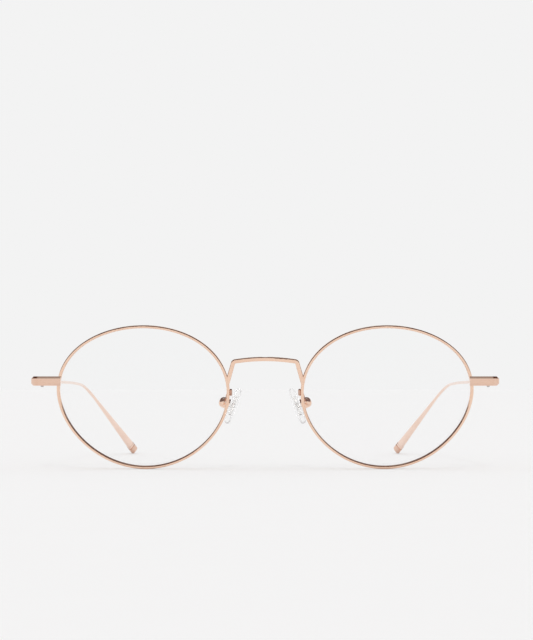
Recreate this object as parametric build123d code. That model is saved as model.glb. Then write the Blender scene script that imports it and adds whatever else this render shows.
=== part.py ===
from build123d import *
import math
import os

# Oval wire eyeglasses, standing open on the rims' lower edges and the temple tips.
#
# The glasses look along -Y, +X is the right side as seen from the front and +Z is up. Every
# piece is modelled on the right side, with the plane Y = 0 touching the middle of the front,
# and mirrored for the left side. The finished set is then moved along Y, so that the origin
# lies on the table, below the centre of the whole object.

# ---- Driving dimensions, in millimetres and degrees ----

# Rim outline, seen from the front: an ellipse with a second harmonic that fills out its
# upper temple side and flattens its upper nose side
HALF_WIDTH = 24.58
HALF_HEIGHT = 20.38
OUTLINE_CENTRE = (1.22, -0.56)
TOP_LEAN = 0.36
EGG_X = (-1.01, 1.29)
EGG_Z = (-0.21, -1.0)
OUTLINE_POINTS = 24

# How the front is curved
LENS_CENTRE_X = 35.2
LENS_CENTRE_Z = 21.04
LENS_SPHERE = 132.0
TILT = 6.0
WRAP = 3.0

# Rim wire and lens
RIM_WIDTH = 0.86
RIM_DEPTH = 1.7
RIM_ROUND = 0.38
GROOVE_DEPTH = 0.45
GROOVE_HALF_WIDTH = 0.45
LENS_THICKNESS = 1.6
LENS_GAP = 0.03
BEVEL_DEPTH = 0.66
BEVEL_FILL = 0.9
RIM_CUT = 0.12

# Bridge: flattened wire, its route given from the middle of the bar down to the foot
BRIDGE_HEIGHT = 1.24
BRIDGE_DEPTH = 1.5
BRIDGE_ROUND = 0.38
BRIDGE_ROUTE = ((0, 32.42), (9.17, 31.15), (10.95, 24.8))
BRIDGE_BENDS = (55.0, 0.8)
BRIDGE_BACK = 0.95
DIP_RADIUS = 9.0
DIP_DEPTH = 0.14

# End piece: a plate that bends back at its outer end
PLATE_LOW_Z = 24.17
PLATE_HEIGHT = 2.7
PLATE_THICKNESS = 1.0
PLATE_INNER_X = 59.3
PLATE_OUTER_X = 68.0
PLATE_FRONT_Y = 1.28
PLATE_BEND = 2.4
PLATE_END_Y = 7.4
PLATE_BEVEL = 0.62

# Closing blocks behind the end piece
BLOCK_INNER_X = 60.15
BLOCK_OUTER_X = 63.3
BLOCK_BACK_Y = 4.9
BLOCK_GAP = 0.1
BLOCK_HEIGHT = 1.1
BLOCK_ROUND = 0.4
BLOCK_SCREW = (61.9, 3.6)
BLOCK_SCREW_LENGTH = 1.9

# Hinge: three knuckles round a screw
HINGE = (65.0, 5.6)
KNUCKLE_RADIUS = 0.95
KNUCKLE_HEIGHT = 0.78
KNUCKLE_GAP = 0.05
PIN_RADIUS = 0.45
PIN_CLEARANCE = 0.04
PIN_OVERHANG = 0.4
LEAF_THICKNESS = 0.7
FRONT_LEAF_HALF = 1.2
REAR_LEAF_LENGTH = 3.2
REAR_LEAF_STEP = 0.2
REAR_LEAF_MARGIN = 0.25
REAR_LEAF_ROUND = 0.3
HEAD_RADIUS = 0.68
HEAD_HEIGHT = 0.3
SLOT_WIDTH = 0.2
SLOT_DEPTH = 0.14
SCREW_BEVEL = 0.12

# Temple: a butt, then wire to the ear bend, then a widening and flattened end
WIRE_RADIUS = 0.47
BUTT_FRONT_Y = 7.6
BUTT_BACK_Y = 12.5
BUTT_WIDTH = 1.1
BUTT_HEIGHT = 2.3
BUTT_X = 66.75
BUTT_ROUND = 0.3
NECK_INSET = 0.04
TEMPLE_START = (66.5, 18.0, 25.6)
TEMPLE_MIDDLE = (62.5, 75.0, 25.05)
EAR_BEND = (60.6, 100.0, 24.2)
TIP_END = (46.45, 142.4, 0.92)
MIDDLE_RADIUS = 400.0
EAR_BEND_RADIUS = 42.0
PADDLE_WIDTH = 2.6
PADDLE_THICKNESS = 1.2
PADDLE_TURN = 28.0

# Temple tip: a collar and a cap on a tenon; the cap's last stretch is rounded to a smaller end
SECTION_POINTS = 24
FLAT_POWER = 3.6
TIP_LENGTH = 4.75
COLLAR_LENGTH = 0.9
COLLAR_STEP = 0.1
COLLAR_ROUND = 0.08
CAP_NECK_LENGTH = 0.4
CAP_END_LENGTH = 1.0
CAP_END_SHRINK = 0.5
CAP_END_STEPS = 6
TENON_LENGTH = 2.8
TENON_WIDTH = 1.5
TENON_THICKNESS = 0.6
TENON_CLEARANCE = 0.02

# Nose pads, each on a lug in a short cup
PAD_CENTRE = (9.4, 9.0, 18.2)
PAD_LEAN = 21.5
PAD_SLOPE = 6.0
PAD_SPLAY = 8.0
PAD_LENGTH = 11.1
PAD_WIDTH = 6.6
PAD_THICKNESS = 1.7
PAD_EDGE_ROUND = 0.71
INSERT_LENGTH = 5.6
INSERT_WIDTH = 2.6
INSERT_THICKNESS = 0.5
LUG_RADIUS = 0.65
LUG_THICKNESS = 1.1
CUP_RADIUS = 1.55
CUP_BORE = 1.12
CUP_MOUTH = 1.35
CUP_LENGTH = 3.0
CUP_DEPTH = 1.95
CUP_DOME = 1.3
PAD_SCREW_OFFSET = 2.3
PAD_SCREW_HEAD = 0.58
PAD_SCREW_STEP = 0.05
PAD_PIN_RADIUS = 0.4
PAD_PIN_CLEARANCE = 0.01

# Pad arm: wire soldered along the rim, then bent back and over, down to the cup
ARM_RADIUS = 0.4
ARM_ROUTE = ((9.93, 0.9, 22.85), (9.93, 0.9, 21.6), (10.1, 4.8, 21.6), (11.0, 8.6, 21.9))
ARM_END_IN_CUP = (2.5, 0.0, 0.5)
ARM_BENDS = (0.6, 2.5, 1.0)

# Helpers of the construction: cutters reach THROUGH any small piece and pass faces by MARGIN,
# and pieces that are joined run into each other by LAP
THROUGH = 8.0
MARGIN = 0.1
LAP = 0.5
TURN_STEP = 1e-4
GUIDE_BACK = 5.0
OPENING_SEAM = 1.3
OPENING_FRONT = -3.0
OPENING_DEPTH = 12.0
FOOT_INSET = -0.05
SAME_PLACE = 0.05


# ---- Lens outline and rim ----

def outline_point(turn):
    """The rim's centre line, seen from the front, at an angle in radians."""
    x = OUTLINE_CENTRE[0] + HALF_WIDTH * math.cos(turn) + TOP_LEAN * math.sin(turn)
    x += EGG_X[0] * math.cos(2 * turn) + EGG_X[1] * math.sin(2 * turn)
    z = OUTLINE_CENTRE[1] + HALF_HEIGHT * math.sin(turn)
    z += EGG_Z[0] * math.cos(2 * turn) + EGG_Z[1] * math.sin(2 * turn)
    return x, z


def sphere_depth(x, z):
    """How far back the lens sphere lies at a point of the front view."""
    return LENS_SPHERE - math.sqrt(LENS_SPHERE ** 2 - x * x - z * z)


def outline(inset=0.0, back=0.0, flat=False, first=0.0):
    """A closed curve inside the rim's centre line by inset, on the lens sphere or flat."""
    points = []
    for index in range(OUTLINE_POINTS):
        turn = first + 2 * math.pi * index / OUTLINE_POINTS
        x, z = outline_point(turn)
        ahead_x, ahead_z = outline_point(turn + TURN_STEP)
        length = math.hypot(ahead_x - x, ahead_z - z)
        inner_x = x - inset * (ahead_z - z) / length
        inner_z = z + inset * (ahead_x - x) / length
        depth = 0.0 if flat else sphere_depth(x, z)
        points.append((inner_x, depth + back, inner_z))
    return Spline(*points, periodic=True)


def along_rim(profile):
    """Sweep a flat profile round the rim: its x axis points outwards and its y axis back."""
    path = outline()
    start = Plane(origin=path @ 0, x_dir=(1, 0, 0), z_dir=path % 0)
    return sweep(start * profile, path=path, binormal=outline(back=GUIDE_BACK))


def opening(inset):
    """The space inside the rim's centre line by inset, running right through the front."""
    face = make_face(outline(inset=inset, back=OPENING_FRONT, flat=True, first=OPENING_SEAM))
    return extrude(face, amount=OPENING_DEPTH, dir=(0, 1, 0))


def to_front(piece):
    """Place a piece of the right lens frame: leaning forward at the top, turned to the side."""
    turn = Location((LENS_CENTRE_X, 0, LENS_CENTRE_Z)) * Rot(Z=WRAP) * Rot(X=TILT)
    return turn * piece


def make_rim():
    """The grooved ring, cut through behind the end piece so that the lens can be put in."""
    inner = -RIM_WIDTH / 2
    mouth = GROOVE_HALF_WIDTH * (1 + MARGIN / GROOVE_DEPTH)
    groove = Polygon(
        (inner - MARGIN, -mouth),
        (inner + GROOVE_DEPTH, 0),
        (inner - MARGIN, mouth),
        align=None,
    )
    profile = RectangleRounded(RIM_WIDTH, RIM_DEPTH, RIM_ROUND) - groove
    ring = to_front(along_rim(profile))
    cut_z = PLATE_LOW_Z + PLATE_HEIGHT / 2
    return ring - Pos(BLOCK_INNER_X, BLOCK_SCREW[1], cut_z) * Box(THROUGH, THROUGH, RIM_CUT)


def make_lens():
    """A piece of a spherical shell with a bevel all round that sits in the rim's groove."""
    half = LENS_THICKNESS / 2
    centre = Pos(0, LENS_SPHERE, 0)
    shell = centre * Sphere(LENS_SPHERE + half) - centre * Sphere(LENS_SPHERE - half)
    tip = -RIM_WIDTH / 2 + GROOVE_DEPTH - LENS_GAP
    root = tip - BEVEL_DEPTH
    root_half = BEVEL_FILL * BEVEL_DEPTH * GROOVE_HALF_WIDTH / GROOVE_DEPTH
    bevel = Polygon((root, -root_half), (tip, 0), (root, root_half), align=None)
    return to_front((opening(RIM_WIDTH / 2 + LENS_GAP) & shell) + along_rim(bevel))


def main_solid(shape):
    """The largest solid of a shape, without what a cut left on its far side."""
    return max(shape.solids(), key=lambda solid: solid.volume)


# ---- Bridge and end pieces ----

def make_bridge(rim_right, rim_left):
    """A flattened wire over the nose, its feet running into the rims' nose sides."""
    right = list(BRIDGE_ROUTE)
    route = list(reversed(right)) + [(-x, z) for x, z in right[1:]]
    slope = math.tan(math.radians(TILT))
    points = [(x, BRIDGE_BACK - (z - LENS_CENTRE_Z) * slope, z) for x, z in route]
    bends = list(reversed(BRIDGE_BENDS)) + list(BRIDGE_BENDS[1:])
    path = FilletPolyline(*points, radius=bends)
    start = Plane(origin=path @ 0, x_dir=(1, 0, 0), z_dir=path % 0)
    profile = RectangleRounded(BRIDGE_HEIGHT, BRIDGE_DEPTH, BRIDGE_ROUND)
    bar = sweep(start * profile, path=path)
    dip_z = bar.bounding_box().max.Z + DIP_RADIUS - DIP_DEPTH
    dip = Pos(0, 0, dip_z) * Rot(X=90) * Cylinder(DIP_RADIUS, THROUGH)
    inside = to_front(opening(FOOT_INSET))
    return main_solid(bar - dip - rim_right - rim_left - inside - mirror(inside, about=Plane.YZ))


def is_show_edge(edge):
    """Whether an edge of the end piece is a long edge of its front or outer face."""
    middle = edge @ 0.5
    level = abs((edge @ 0).Z - middle.Z) < SAME_PLACE
    on_front = abs(middle.Y - PLATE_FRONT_Y) < SAME_PLACE
    on_side = abs(middle.X - PLATE_OUTER_X) < SAME_PLACE
    bend_middle = PLATE_BEND * (1 - math.sqrt(0.5))
    in_bend = math.hypot(middle.X - PLATE_OUTER_X + bend_middle,
                         middle.Y - PLATE_FRONT_Y - bend_middle) < SAME_PLACE
    return level and (on_front or on_side or in_bend)


def make_end_piece(rim):
    """A flat bar bent back round the hinge: seen from above it is an L with a round corner."""
    outer = PLATE_OUTER_X
    inner = outer - PLATE_THICKNESS
    front = PLATE_FRONT_Y
    back = front + PLATE_THICKNESS
    shape = Polygon(
        (PLATE_INNER_X, front), (outer, front), (outer, PLATE_END_Y),
        (inner, PLATE_END_Y), (inner, back), (PLATE_INNER_X, back),
        align=None,
    )
    corner = shape.vertices().sort_by_distance((outer, front, 0))[0]
    shape = fillet(corner, PLATE_BEND)
    corner = shape.vertices().sort_by_distance((inner, back, 0))[0]
    shape = fillet(corner, PLATE_BEND - PLATE_THICKNESS)
    bar = Pos(0, 0, PLATE_LOW_Z) * extrude(shape, PLATE_HEIGHT)
    visible = [edge for edge in bar.edges() if is_show_edge(edge)]
    return chamfer(visible, PLATE_BEVEL) - rim


# ---- Closing blocks and screws ----

def make_screw(length):
    """A slotted screw that hangs down from the origin, at the top of its head."""
    head = Pos(0, 0, -HEAD_HEIGHT / 2) * Cylinder(HEAD_RADIUS, HEAD_HEIGHT)
    shank = Pos(0, 0, -length / 2) * Cylinder(PIN_RADIUS, length)
    body = chamfer((head + shank).edges().group_by(Axis.Z)[0], SCREW_BEVEL)
    slot = Pos(0, 0, -SLOT_DEPTH / 2) * Box(THROUGH, SLOT_WIDTH, SLOT_DEPTH)
    return body - slot


def make_screw_hole(length):
    """The space that such a screw needs, with clearance all round and past its head."""
    recess = Cylinder(HEAD_RADIUS + PIN_CLEARANCE, 2 * HEAD_HEIGHT)
    bore = Pos(0, 0, -length / 2) * Cylinder(PIN_RADIUS + PIN_CLEARANCE, length + MARGIN)
    return recess + bore


def make_block(low_z, rim):
    """One closing block: a small bar against the rim's outer side, behind the end piece."""
    front = PLATE_FRONT_Y + PLATE_THICKNESS
    body = box_between((BLOCK_INNER_X, front, low_z),
                       (BLOCK_OUTER_X, BLOCK_BACK_Y, low_z + BLOCK_HEIGHT))
    outer_edges = body.edges().filter_by(Axis.Z).group_by(Axis.X)[-1]
    return main_solid(fillet(outer_edges, BLOCK_ROUND) - rim)


def make_closing_blocks(rim):
    """The upper block, the lower block and the screw that draws them together."""
    middle_z = PLATE_LOW_Z + PLATE_HEIGHT / 2
    low_z = middle_z - BLOCK_GAP / 2 - BLOCK_HEIGHT
    place = Pos(*BLOCK_SCREW, low_z) * Rot(X=180)
    hole = place * make_screw_hole(BLOCK_SCREW_LENGTH)
    upper = make_block(middle_z + BLOCK_GAP / 2, rim) - hole
    lower = make_block(low_z, rim) - hole
    return upper, lower, place * make_screw(BLOCK_SCREW_LENGTH)


# ---- Hinge ----

def box_between(low, high):
    """A box given by its lowest and highest corners."""
    size = [high[axis] - low[axis] for axis in range(3)]
    return Pos(*low) * Box(*size, align=(Align.MIN, Align.MIN, Align.MIN))


def knuckle_levels():
    """Bottom heights of the three knuckles, centred on the end piece's height."""
    pitch = KNUCKLE_HEIGHT + KNUCKLE_GAP
    low = PLATE_LOW_Z + (PLATE_HEIGHT - 2 * pitch - KNUCKLE_HEIGHT) / 2
    return [low + index * pitch for index in range(3)]


def make_knuckle(low_z):
    return Pos(*HINGE, low_z + KNUCKLE_HEIGHT / 2) * Cylinder(KNUCKLE_RADIUS, KNUCKLE_HEIGHT)


def hinge_screw_place():
    """Where the hinge screw's head is, and how long the screw is."""
    top_z = knuckle_levels()[2] + KNUCKLE_HEIGHT
    length = top_z - PLATE_LOW_Z + PIN_OVERHANG
    return Pos(*HINGE, top_z), length


def make_front_leaf():
    """The leaf on the end piece, with the lower and the upper knuckle."""
    low, _, high = knuckle_levels()
    x, y = HINGE
    leg_x = PLATE_OUTER_X - PLATE_THICKNESS
    leaf_x = leg_x - LEAF_THICKNESS
    leaf = box_between((leaf_x, y - FRONT_LEAF_HALF, low),
                       (leg_x, y + FRONT_LEAF_HALF, high + KNUCKLE_HEIGHT))
    for level in (low, high):
        web = box_between((x, y - KNUCKLE_RADIUS, level),
                          (leaf_x + MARGIN, y + KNUCKLE_RADIUS, level + KNUCKLE_HEIGHT))
        leaf = leaf + make_knuckle(level) + web
    place, length = hinge_screw_place()
    return leaf - place * make_screw_hole(length)


def make_rear_leaf():
    """The leaf on the temple's butt, with the middle knuckle."""
    low, middle, high = knuckle_levels()
    x, y = HINGE
    butt_x = BUTT_X - BUTT_WIDTH / 2
    front = BUTT_FRONT_Y + REAR_LEAF_STEP
    leaf = box_between((butt_x - LEAF_THICKNESS, front, low + REAR_LEAF_MARGIN),
                       (butt_x, front + REAR_LEAF_LENGTH,
                        high + KNUCKLE_HEIGHT - REAR_LEAF_MARGIN))
    leaf = fillet(leaf.edges().filter_by(Axis.X), REAR_LEAF_ROUND)
    tongue = box_between((x, y, middle),
                         (x + KNUCKLE_RADIUS, front + LAP, middle + KNUCKLE_HEIGHT))
    bore = Pos(*HINGE, middle) * Cylinder(PIN_RADIUS + PIN_CLEARANCE, THROUGH)
    return leaf + make_knuckle(middle) + tongue - bore


def make_hinge_screw():
    place, length = hinge_screw_place()
    return place * make_screw(length)


# ---- Temple ----

def temple_path():
    """The temple's centre line behind its butt: straight runs joined by arcs."""
    return FilletPolyline(TEMPLE_START, TEMPLE_MIDDLE, EAR_BEND, TIP_END,
                          radius=[MIDDLE_RADIUS, EAR_BEND_RADIUS])


def tip_plane(before_end):
    """The plane across the rear run, a distance before its end; x is across the flat face."""
    end = Vector(*TIP_END)
    along = (end - Vector(*EAR_BEND)).normalized()
    sideways = along.cross(Vector(0, 0, 1)).normalized()
    turn = math.radians(PADDLE_TURN)
    across = sideways * math.cos(turn) + sideways.cross(along) * math.sin(turn)
    return Plane(origin=end - along * before_end, x_dir=across, z_dir=along)


def tip_section(before_end, thickness, width):
    """A superellipse across the rear run: flatter than an ellipse, with round corners."""
    points = []
    for index in range(SECTION_POINTS):
        turn = 2 * math.pi * (index + 0.5) / SECTION_POINTS
        reach = [math.copysign(abs(part) ** (2 / FLAT_POWER), part)
                 for part in (math.cos(turn), math.sin(turn))]
        points.append((thickness / 2 * reach[0], width / 2 * reach[1]))
    return tip_plane(before_end) * make_face(Spline(*points, periodic=True))


def make_butt():
    """The flat bar behind the hinge and the neck from it down to the wire."""
    half = BUTT_WIDTH / 2
    middle_z = TEMPLE_START[2]
    bar = box_between((BUTT_X - half, BUTT_FRONT_Y, middle_z - BUTT_HEIGHT / 2),
                      (BUTT_X + half, BUTT_BACK_Y, middle_z + BUTT_HEIGHT / 2))
    bar = fillet(bar.edges().filter_by(Axis.Y), BUTT_ROUND)
    neck_start = Plane(origin=(BUTT_X, BUTT_BACK_Y - LAP, middle_z), x_dir=(1, 0, 0),
                       z_dir=(0, 1, 0))
    path = temple_path()
    wire_start = Plane(origin=path @ 0, x_dir=(1, 0, 0), z_dir=path % 0)
    neck = loft([neck_start * Ellipse(half - NECK_INSET, BUTT_HEIGHT / 2 - NECK_INSET),
                 wire_start * Circle(WIRE_RADIUS)])
    return bar + neck


def make_temple():
    """Butt, wire as far as the end of the ear bend, widening end and tenon."""
    path = temple_path()
    runs = path.edges()
    start = Plane(origin=path @ 0, x_dir=(1, 0, 0), z_dir=path % 0)
    wire = sweep(start * Circle(WIRE_RADIUS), path=Wire(runs[:-1]))
    bend_end = (Vector(*TIP_END) - runs[-1] @ 0).length
    paddle = loft([tip_plane(bend_end) * Circle(WIRE_RADIUS),
                   tip_section(TIP_LENGTH, PADDLE_THICKNESS, PADDLE_WIDTH)])
    tenon = extrude(tip_section(TIP_LENGTH + MARGIN, TENON_THICKNESS, TENON_WIDTH), TENON_LENGTH)
    return make_butt() + wire + paddle + tenon


def make_tip():
    """The collar and the cap, both slipped over the temple's tenon."""
    slack = 2 * TENON_CLEARANCE
    socket = extrude(tip_section(TIP_LENGTH + MARGIN, TENON_THICKNESS + slack, TENON_WIDTH + slack),
                     TENON_LENGTH + TENON_CLEARANCE)
    thickness = PADDLE_THICKNESS + 2 * COLLAR_STEP
    width = PADDLE_WIDTH + 2 * COLLAR_STEP
    collar = extrude(tip_section(TIP_LENGTH, thickness, width), COLLAR_LENGTH)
    collar = fillet(collar.edges(), COLLAR_ROUND)
    return collar - socket, make_cap(thickness, width) - socket


def make_cap(thickness, width):
    """A narrow neck against the collar, a straight stretch and a rounded end."""
    neck_start = TIP_LENGTH - COLLAR_LENGTH
    body_start = neck_start - CAP_NECK_LENGTH
    neck = extrude(tip_section(neck_start, PADDLE_THICKNESS - COLLAR_STEP, PADDLE_WIDTH - COLLAR_STEP),
                   CAP_NECK_LENGTH + MARGIN)
    body = extrude(tip_section(body_start, thickness, width), body_start - CAP_END_LENGTH)
    rounding = []
    for index in range(CAP_END_STEPS + 1):
        turn = math.pi / 2 * index / CAP_END_STEPS
        before_end = CAP_END_LENGTH * (1 - math.sin(turn))
        size = 1 - CAP_END_SHRINK * (1 - math.cos(turn))
        rounding.append(tip_section(before_end, thickness * size, width * size))
    return neck + body + loft(rounding, ruled=True)


# ---- Nose pads ----

def pad_place():
    """The pad's frame: x points to the temple side, y back and z along the pad."""
    return Pos(*PAD_CENTRE) * Rot(Z=-PAD_SPLAY) * Rot(Y=-PAD_LEAN) * Rot(X=-PAD_SLOPE)


def pad_disc(length, width, thickness):
    """An oval plate across the pad frame's x axis."""
    face = Plane.YZ * Ellipse(width / 2, length / 2)
    return extrude(face, thickness / 2, both=True)


def make_pad_insert():
    """The firm plate inside the pad, with a lug that the pad screw runs through."""
    plate = pad_disc(INSERT_LENGTH, INSERT_WIDTH, INSERT_THICKNESS)
    neck = box_between((0, -LUG_THICKNESS / 2, -LUG_RADIUS),
                       (PAD_SCREW_OFFSET, LUG_THICKNESS / 2, LUG_RADIUS))
    eye_place = Pos(PAD_SCREW_OFFSET, 0, 0) * Rot(X=90)
    eye = eye_place * Cylinder(LUG_RADIUS, LUG_THICKNESS)
    bore = eye_place * Cylinder(PAD_PIN_RADIUS + PIN_CLEARANCE, THROUGH)
    return plate + neck + eye - bore


def make_nose_pad(insert):
    """The soft oval cushion, moulded round its insert."""
    body = pad_disc(PAD_LENGTH, PAD_WIDTH, PAD_THICKNESS)
    return fillet(body.edges(), PAD_EDGE_ROUND) - insert


def make_cup_body():
    """A short round bar along x, domed at its outer end."""
    body = Pos(CUP_MOUTH + CUP_LENGTH / 2, 0, 0) * Rot(Y=90) * Cylinder(CUP_RADIUS, CUP_LENGTH)
    return fillet(body.edges().group_by(Axis.X)[-1], CUP_DOME)


def make_pad_cup():
    """The cup body, hollow from the pad's side, with the holes for its screw."""
    low_x = CUP_MOUTH - MARGIN
    hollow_length = CUP_DEPTH + MARGIN
    hollow = Pos(low_x + hollow_length / 2, 0, 0) * Rot(Y=90) * Cylinder(CUP_BORE, hollow_length)
    recess = Cylinder(PAD_SCREW_HEAD + PIN_CLEARANCE, 2 * HEAD_HEIGHT)
    bore = Cylinder(PAD_PIN_RADIUS + PAD_PIN_CLEARANCE, THROUGH)
    return make_cup_body() - hollow - pad_screw_frame() * (recess + bore)


def pad_screw_frame():
    """The pad screw's head is at the back of the cup and its shank points forward."""
    return Pos(PAD_SCREW_OFFSET, CUP_RADIUS + PAD_SCREW_STEP, 0) * Rot(X=-90)


def make_pad_screw():
    length = 2 * CUP_RADIUS
    head = Pos(0, 0, -HEAD_HEIGHT / 2) * Cylinder(PAD_SCREW_HEAD, HEAD_HEIGHT)
    shank = Pos(0, 0, -length / 2) * Cylinder(PAD_PIN_RADIUS, length)
    slot = Pos(0, 0, -SLOT_DEPTH / 2) * Box(THROUGH, SLOT_WIDTH, SLOT_DEPTH)
    return pad_screw_frame() * (head + shank - slot)


def make_pad_arm(rim, cup_body):
    """A round wire from its solder joint along the rim, back and over, down to the cup."""
    end = (pad_place() * Pos(*ARM_END_IN_CUP)).position
    path = FilletPolyline(*ARM_ROUTE, end, radius=list(ARM_BENDS))
    start = Plane(origin=path @ 0, z_dir=path % 0)
    wire = sweep(start * Circle(ARM_RADIUS), path=path)
    return main_solid(wire + Pos(*ARM_ROUTE[0]) * Sphere(ARM_RADIUS) - rim - cup_body)


# ---- The whole object ----

def make_side():
    """Every piece of the right side, by name."""
    rim = make_rim()
    upper, lower, rim_screw = make_closing_blocks(rim)
    collar, cap = make_tip()
    insert = make_pad_insert()
    place = pad_place()
    return {
        "rim": rim,
        "lens": make_lens(),
        "closing_block_upper": upper,
        "closing_block_lower": lower,
        "rim_screw": rim_screw,
        "end_piece": make_end_piece(rim),
        "hinge_front": make_front_leaf(),
        "hinge_temple": make_rear_leaf(),
        "hinge_screw": make_hinge_screw(),
        "temple": make_temple(),
        "tip_collar": collar,
        "tip_cap": cap,
        "pad_arm": make_pad_arm(rim, place * make_cup_body()),
        "pad_cup": place * make_pad_cup(),
        "pad_screw": place * make_pad_screw(),
        "pad_insert": place * insert,
        "nose_pad": place * make_nose_pad(insert),
    }


def make_all():
    """Both sides and the bridge between them."""
    side = make_side()
    pieces = {name + "_right": piece for name, piece in side.items()}
    for name, piece in side.items():
        pieces[name + "_left"] = mirror(piece, about=Plane.YZ)
    pieces["bridge"] = make_bridge(pieces["rim_right"], pieces["rim_left"])
    return pieces


def main():
    os.makedirs("parts", exist_ok=True)
    pieces = make_all()
    everything = Compound(children=[solid for piece in pieces.values() for solid in piece.solids()])
    box = everything.bounding_box()
    shift = Pos(0, -(box.min.Y + box.max.Y) / 2, 0)
    for name, piece in pieces.items():
        moved = [shift * solid for solid in piece.solids()]
        export_step(Compound(children=moved), f"parts/{name}.step")
    print("moved along Y by", shift.position.Y, "lowest point", box.min.Z, "size", box.size)


main()
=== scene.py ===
"""Looks of the wire eyeglasses: rose gold frame, clear lenses, silicone pads and a pale studio."""
import math

import bpy
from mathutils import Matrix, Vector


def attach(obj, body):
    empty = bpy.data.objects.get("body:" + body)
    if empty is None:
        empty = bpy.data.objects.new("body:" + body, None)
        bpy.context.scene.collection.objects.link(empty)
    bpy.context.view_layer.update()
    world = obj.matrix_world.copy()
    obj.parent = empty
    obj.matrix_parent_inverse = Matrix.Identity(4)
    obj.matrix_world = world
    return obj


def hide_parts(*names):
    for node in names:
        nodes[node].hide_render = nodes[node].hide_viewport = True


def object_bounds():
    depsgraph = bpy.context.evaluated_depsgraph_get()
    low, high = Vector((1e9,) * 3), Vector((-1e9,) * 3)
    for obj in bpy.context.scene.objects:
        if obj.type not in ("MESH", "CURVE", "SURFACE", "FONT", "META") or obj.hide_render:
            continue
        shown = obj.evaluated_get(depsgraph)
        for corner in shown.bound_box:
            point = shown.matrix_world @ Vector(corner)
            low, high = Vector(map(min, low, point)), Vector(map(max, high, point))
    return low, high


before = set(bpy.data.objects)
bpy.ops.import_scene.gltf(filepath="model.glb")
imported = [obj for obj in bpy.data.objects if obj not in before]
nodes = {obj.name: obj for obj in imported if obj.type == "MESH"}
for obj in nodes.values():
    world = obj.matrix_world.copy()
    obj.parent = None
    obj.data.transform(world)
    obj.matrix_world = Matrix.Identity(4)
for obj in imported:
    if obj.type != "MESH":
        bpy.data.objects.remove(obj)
cad_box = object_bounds()
SIDES = ("left", "right")

# ---- Camera, in metres and degrees; the front of the glasses faces -Y ----
CAMERA_LENS = 119.6
CAMERA_DISTANCE = 0.6145
CAMERA_HEIGHT = 0.0247
CAMERA_RIGHT = 0.00038
CAMERA_PITCH = 1.72
CAMERA_RANGE = 30.0
RIM_FRONT_BACK = 0.0017

# ---- Studio: the sky's shades by height, the lamps and the floor ----
PALE = (0.896, 0.896, 0.896)
MEDIUM = (0.42, 0.42, 0.42)
DARK = (0.110, 0.060, 0.048)
SKY_BANDS = ((0.0, PALE), (0.13, PALE), (0.24, DARK), (0.92, DARK), (0.97, MEDIUM), (1.0, MEDIUM))
FRONT_LIFT = 0.28
SUNS = {"ambient_sun": {"energy": 2.42, "colour": (0.943, 0.988, 1.0), "angle": 150, "tilt": 0},
        "key_sun": {"energy": 0.31, "colour": (1.0, 1.0, 1.0), "angle": 4, "tilt": 45}}
FLOOR_RADIUS = 9.0
FLOOR_SIDES = 96
FLOOR_SHADES = ((0.0, (0.893, 0.893, 0.893)), (1.0, (0.899, 0.899, 0.899)))

# ---- Colours: the pale and the deep end of each material's drift ----
WIRE_ROSE = ((0.95, 0.69, 0.54), (0.88, 0.61, 0.46))
PLATE_ROSE = ((0.83, 0.56, 0.43), (0.79, 0.52, 0.395))
# The temples' rose is the same plating made paler than the wire's: painted light for the brighter light
# they catch
TEMPLE_ROSE_PAINTED_LIGHT = ((0.96, 0.74, 0.63), (0.92, 0.68, 0.56))
# The pad arms' rose is darker than the wire's: painted shade for the arms that sit behind the rims
ARM_ROSE_PAINTED_SHADE = ((0.66, 0.44, 0.35), (0.56, 0.36, 0.28))
SCREW_STEEL = ((0.66, 0.62, 0.60), (0.52, 0.48, 0.46))
EDGE_WEAR = (0.97, 0.78, 0.66)
# Painted shade: the dark brown laid into grooves and crevices, in place of the shade that falls there
GROOVE_PAINTED_SHADE = (0.30, 0.13, 0.10)
LENS_COATING = ((0.95, 0.93, 0.98), (0.86, 0.95, 0.93))
DRIFT_STOPS = (0.3, 0.7)

# ---- Clear plastics: colours, refractive index, how much of the surface shows, and roughness ----
SILICONE = {"colours": ((0.985, 0.98, 0.975), (0.965, 0.955, 0.95)),
            "bending": 1.2, "opacity": 0.32, "roughness": (0.05, 0.15)}
PAD_CORE = {"colours": ((0.93, 0.91, 0.89), (0.86, 0.83, 0.80)),
            "bending": 1.22, "opacity": 0.6, "roughness": (0.1, 0.25)}

# ---- Surface detail: noise in waves per metre, relief in metres, roughness from low to high ----
COARSE, MIDDLING, FINE, FINEST = 2, 3, 4, 5
METAL_DRIFT = 140
METAL_HAZE = 900
HAIRLINES = 2600
HAIRLINE_STRETCH = (1, 0.12, 1)
METAL_RELIEF = 0.00001
POLISHED = (0.08, 0.18)
SATIN = (0.2, 0.35)
WORN_FROM = (0.53, 0.62)
WORN_SHARE = 0.25
# Painted shade in the grooves: the pointiness at which it starts and where it is full, and its largest
# share
GROOVE_SHADE_FROM = (0.47, 0.38)
GROOVE_SHADE_SHARE = 0.8
COATING_DRIFT = 40
COATING_ALPHA = (0.02, 0.035)
LENS_HAZE = 300
LENS_ROUGHNESS = (0.01, 0.03)
PLASTIC_CLOUD = 500
PLASTIC_HAZE = 1200
PLASTIC_RELIEF = 0.00001
RELIEF_STRENGTH = 0.3
PAPER_GRAIN = 60
PAPER_ROUGHNESS = 0.9

# ---- Nose pads, in metres ----
PAD_VOXEL = 0.0002
PAD_SMOOTHING = 12


# ---- Node helpers ----

def new_material(name):
    """A material with its node tree and its main shader."""
    material = bpy.data.materials.new(name)
    material.use_nodes = True
    tree = material.node_tree
    return material, tree, tree.nodes["Principled BSDF"]


def add(tree, kind, **values):
    """A new node; values whose names are settings go there and the rest to its inputs."""
    node = tree.nodes.new(kind)
    for key, value in values.items():
        if hasattr(node, key):
            setattr(node, key, value)
        else:
            node.inputs[key.replace("_", " ")].default_value = value
    return node


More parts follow.
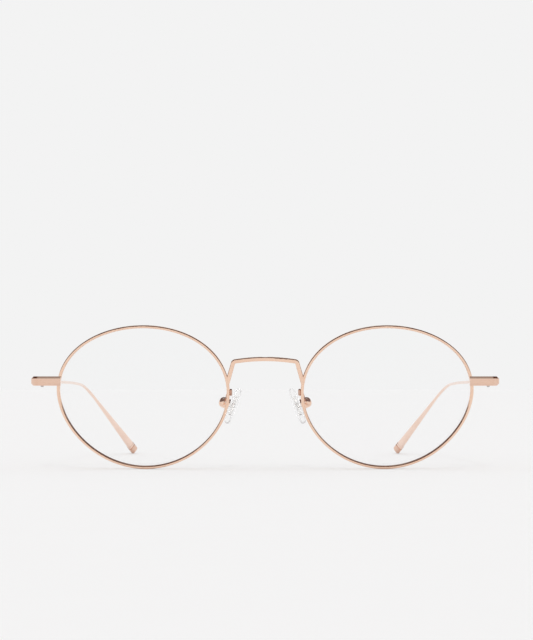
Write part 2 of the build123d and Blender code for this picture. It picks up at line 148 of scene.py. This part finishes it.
def noise(tree, scale, detail=MIDDLING, stretch=(1, 1, 1)):
    """Noise in the object's own space, at a scale in waves per metre."""
    place = add(tree, "ShaderNodeTexCoord")
    shape = add(tree, "ShaderNodeMapping", Scale=stretch)
    tree.links.new(place.outputs["Object"], shape.inputs["Vector"])
    texture = add(tree, "ShaderNodeTexNoise", Scale=scale, Detail=detail)
    tree.links.new(shape.outputs["Vector"], texture.inputs["Vector"])
    return texture.outputs["Fac"]


def spread(tree, source, results, limits=(0.0, 1.0)):
    """Map a value from the limits to a pair of results."""
    node = add(tree, "ShaderNodeMapRange", From_Min=limits[0], From_Max=limits[1],
               To_Min=results[0], To_Max=results[1])
    tree.links.new(source, node.inputs["Value"])
    return node.outputs["Result"]


def ramp(tree, source, stops):
    """Turn a value into a colour, by (place, colour) stops."""
    node = add(tree, "ShaderNodeValToRGB")
    points = node.color_ramp.elements
    while len(points) < len(stops):
        points.new(0.5)
    for point, (place, colour) in zip(points, stops):
        point.position = place
        point.color = (*colour, 1)
    tree.links.new(source, node.inputs["Fac"])
    return node.outputs["Color"]


def drift(tree, source, colours):
    """A colour that wanders between a pale and a deep one."""
    pale, deep = colours
    return ramp(tree, source, list(zip(DRIFT_STOPS, (deep, pale))))


def blend_in(tree, amount, colour, tint):
    """Mix a tint into a colour by an amount that varies over the surface."""
    mix = add(tree, "ShaderNodeMix", data_type="RGBA")
    inputs = {socket.identifier: socket for socket in mix.inputs}
    tree.links.new(amount, inputs["Factor_Float"])
    tree.links.new(colour, inputs["A_Color"])
    inputs["B_Color"].default_value = (*tint, 1)
    outputs = {socket.identifier: socket for socket in mix.outputs}
    return outputs["Result_Color"]


def relief(tree, shader, source, height):
    """Raise the shader's surface a little where the value is high."""
    node = add(tree, "ShaderNodeBump", Strength=RELIEF_STRENGTH, Distance=height)
    tree.links.new(source, node.inputs["Height"])
    tree.links.new(node.outputs["Normal"], shader.inputs["Normal"])


# ---- Materials ----

def wear_and_groove_shade(tree, colour):
    """Lighten a colour where the surface is most convex (wear), and darken it in its grooves: painted
    shade, standing in for the shade that falls there.
    """
    shape = add(tree, "ShaderNodeNewGeometry").outputs["Pointiness"]
    wear = spread(tree, shape, (0, WORN_SHARE), WORN_FROM)
    # Painted shade: the least convex places, the grooves, are darkened
    shade = spread(tree, shape, (0, GROOVE_SHADE_SHARE), GROOVE_SHADE_FROM)
    return blend_in(tree, shade, blend_in(tree, wear, colour, EDGE_WEAR), GROOVE_PAINTED_SHADE)


def plated_metal(name, colours, roughness=POLISHED):
    """Plated metal: slight colour drift, polishing haze, hairline marks, worn edges and painted shade
    in the grooves.
    """
    material, tree, shader = new_material(name)
    shader.inputs["Metallic"].default_value = 1.0
    colour = wear_and_groove_shade(tree, drift(tree, noise(tree, METAL_DRIFT), colours))
    tree.links.new(colour, shader.inputs["Base Color"])
    haze = noise(tree, METAL_HAZE, FINEST)
    tree.links.new(spread(tree, haze, roughness), shader.inputs["Roughness"])
    relief(tree, shader, noise(tree, HAIRLINES, FINE, HAIRLINE_STRETCH), METAL_RELIEF)
    return material


def coated_lens(name, colours):
    """Nearly all light passes straight through, and a little is mirrored in the coating's tint."""
    material, tree, shader = new_material(name)
    shader.inputs["Metallic"].default_value = 1.0
    coating = noise(tree, COATING_DRIFT, COARSE)
    tree.links.new(drift(tree, coating, colours), shader.inputs["Base Color"])
    tree.links.new(spread(tree, coating, COATING_ALPHA), shader.inputs["Alpha"])
    haze = noise(tree, LENS_HAZE)
    tree.links.new(spread(tree, haze, LENS_ROUGHNESS), shader.inputs["Roughness"])
    return material


def clear_plastic(name, colours, bending, opacity, roughness):
    """See-through moulding: slightly cloudy, with a fine moulded grain."""
    material, tree, shader = new_material(name)
    shader.inputs["Transmission Weight"].default_value = 1.0
    shader.inputs["IOR"].default_value = bending
    shader.inputs["Alpha"].default_value = opacity
    cloud = noise(tree, PLASTIC_CLOUD)
    tree.links.new(drift(tree, cloud, colours), shader.inputs["Base Color"])
    haze = noise(tree, PLASTIC_HAZE)
    tree.links.new(spread(tree, haze, roughness), shader.inputs["Roughness"])
    relief(tree, shader, haze, PLASTIC_RELIEF)
    return material


# ---- Pieces ----

def both_sides(*names):
    """The node names of pieces that exist left and right."""
    return [f"{name}_{side}" for name in names for side in SIDES]


def dress(names, material):
    """Give CAD nodes a material."""
    for name in names:
        mesh = nodes[name].data
        mesh.materials.clear()
        mesh.materials.append(material)


def make_nose_pad(side, material):
    """A soft moulded pad: the CAD solid's form with its edges and faces rounded into one another."""
    node = nodes[f"nose_pad_{side}"]
    pad = bpy.data.objects.new(f"soft_pad_{side}", node.data.copy())
    pad.matrix_world = node.matrix_world
    bpy.context.scene.collection.objects.link(pad)
    pad.data.materials.clear()
    pad.data.materials.append(material)
    remesh = pad.modifiers.new("even_faces", "REMESH")
    remesh.mode = "VOXEL"
    remesh.voxel_size = PAD_VOXEL
    remesh.use_smooth_shade = True
    rounding = pad.modifiers.new("rounding", "SMOOTH")
    rounding.iterations = PAD_SMOOTHING
    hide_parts(node.name)
    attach(pad, f"pad_{side}")


def dress_all():
    """Give every CAD node its material, and make the soft pads."""
    dress(["bridge"] + both_sides("rim", "pad_cup"), plated_metal("rose_wire", WIRE_ROSE))
    dress(both_sides("closing_block_upper", "closing_block_lower", "end_piece", "hinge_front",
                     "hinge_temple", "tip_cap"), plated_metal("rose_plate", PLATE_ROSE))
    # The temples and tip collars get a paler copy of the rose plating: painted light
    dress(both_sides("temple", "tip_collar"), plated_metal("rose_temple_painted_light", TEMPLE_ROSE_PAINTED_LIGHT))
    # The pad arms get a darker copy of the rose plating: painted shade
    dress(both_sides("pad_arm"), plated_metal("rose_arm_painted_shade", ARM_ROSE_PAINTED_SHADE))
    dress(both_sides("rim_screw", "hinge_screw", "pad_screw"),
          plated_metal("screw_steel", SCREW_STEEL, SATIN))
    dress(both_sides("lens"), coated_lens("clear_lens", LENS_COATING))
    dress(both_sides("pad_insert"), clear_plastic("pad_core", **PAD_CORE))
    silicone = clear_plastic("clear_silicone", **SILICONE)
    for side in SIDES:
        make_nose_pad(side, silicone)


# ---- Studio ----

def make_floor():
    """A wide matt disc at the height on which the glasses stand."""
    mesh = bpy.data.meshes.new("floor")
    turns = [2 * math.pi * index / FLOOR_SIDES for index in range(FLOOR_SIDES)]
    edge = [(FLOOR_RADIUS * math.cos(turn), FLOOR_RADIUS * math.sin(turn), 0) for turn in turns]
    mesh.from_pydata(edge, [], [list(range(FLOOR_SIDES))])
    floor = bpy.data.objects.new("floor", mesh)
    bpy.context.scene.collection.objects.link(floor)
    paper, tree, shader = new_material("pale_floor")
    shader.inputs["Roughness"].default_value = PAPER_ROUGHNESS
    shader.inputs["Specular IOR Level"].default_value = 0.0
    shade = ramp(tree, noise(tree, PAPER_GRAIN, COARSE), FLOOR_SHADES)
    tree.links.new(shade, shader.inputs["Base Color"])
    mesh.materials.append(paper)


def make_world():
    """Pale at eye level and higher in front and behind than at the sides, dark above, grey overhead."""
    world = bpy.data.worlds.new("studio")
    bpy.context.scene.world = world
    world.use_nodes = True
    tree = world.node_tree
    place = add(tree, "ShaderNodeTexCoord")
    split = add(tree, "ShaderNodeSeparateXYZ")
    tree.links.new(place.outputs["Generated"], split.inputs["Vector"])
    square = add(tree, "ShaderNodeMath", operation="MULTIPLY")
    tree.links.new(split.outputs["Y"], square.inputs[0])
    tree.links.new(split.outputs["Y"], square.inputs[1])
    height = add(tree, "ShaderNodeMath", operation="MULTIPLY_ADD")
    tree.links.new(square.outputs[0], height.inputs[0])
    height.inputs[1].default_value = -FRONT_LIFT
    tree.links.new(split.outputs["Z"], height.inputs[2])
    shade = ramp(tree, height.outputs[0], SKY_BANDS)
    tree.links.new(shade, tree.nodes["Background"].inputs["Color"])


def make_lights():
    """A very wide lamp for even light and a small one in front for thin, faint shadows."""
    for name, facts in SUNS.items():
        sun = bpy.data.lights.new(name, "SUN")
        sun.energy = facts["energy"]
        sun.color = facts["colour"]
        sun.angle = math.radians(facts["angle"])
        lamp = bpy.data.objects.new(name, sun)
        lamp.rotation_euler = (math.radians(facts["tilt"]), 0, 0)
        lamp.visible_glossy = False
        lamp.visible_transmission = False
        bpy.context.scene.collection.objects.link(lamp)


def make_camera():
    """The camera stands in front of the rims, a little above the floor, and looks slightly up."""
    data = bpy.data.cameras.new("camera")
    data.lens = CAMERA_LENS
    data.clip_end = CAMERA_RANGE
    camera = bpy.data.objects.new("camera", data)
    bpy.context.scene.collection.objects.link(camera)
    front_y = cad_box[0].y + RIM_FRONT_BACK
    camera.location = (CAMERA_RIGHT, front_y - CAMERA_DISTANCE, CAMERA_HEIGHT)
    camera.rotation_euler = (math.radians(90 + CAMERA_PITCH), 0, 0)
    bpy.context.scene.camera = camera


dress_all()
make_floor()
make_world()
make_lights()
make_camera()
bpy.context.scene.view_settings.view_transform = "Standard"
